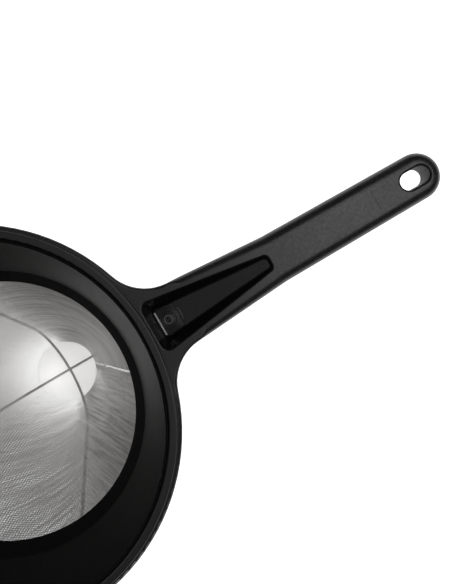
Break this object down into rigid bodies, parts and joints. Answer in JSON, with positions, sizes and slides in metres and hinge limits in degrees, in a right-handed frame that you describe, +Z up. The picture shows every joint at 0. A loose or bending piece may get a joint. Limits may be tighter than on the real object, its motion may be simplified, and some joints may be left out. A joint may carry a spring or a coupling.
{
  "type": "chinois strainer",
  "caption": "Chinois strainer: fine woven steel cone clamped in a moulded black collar, with crossing guard hoops and an integral long handle with a hang slot.",
  "frame": {"origin": "on the ring's axis, in the plane of the ring's underside, which is the seat that rests on a pot or a stand", "axes": "+X along the handle towards the hang slot, +Z up out of the mouth, away from the cone's tip"},
  "size_m": [0.3955, 0.2136, 0.2022],
  "materials": {
    "black_composite": "satin black glass-filled moulding with fine grain",
    "collar_composite": "satin black glass-filled moulding, smoother on the sloping face",
    "lip_composite": "dull black glass-filled moulding",
    "woven_steel": "fine plain-weave stainless wire cloth, see-through",
    "wire_steel": "drawn stainless wire"
  },
  "bodies": {
    "root": {"handle_frame": "black_composite", "filter_collar": "collar_composite", "mesh_clamp_ring": "lip_composite", "mesh_cone": "woven_steel", "mesh_tip": "woven_steel", "guard_hoop_across": "wire_steel", "guard_hoop_along": "wire_steel"}
  },
  "joints": []
}
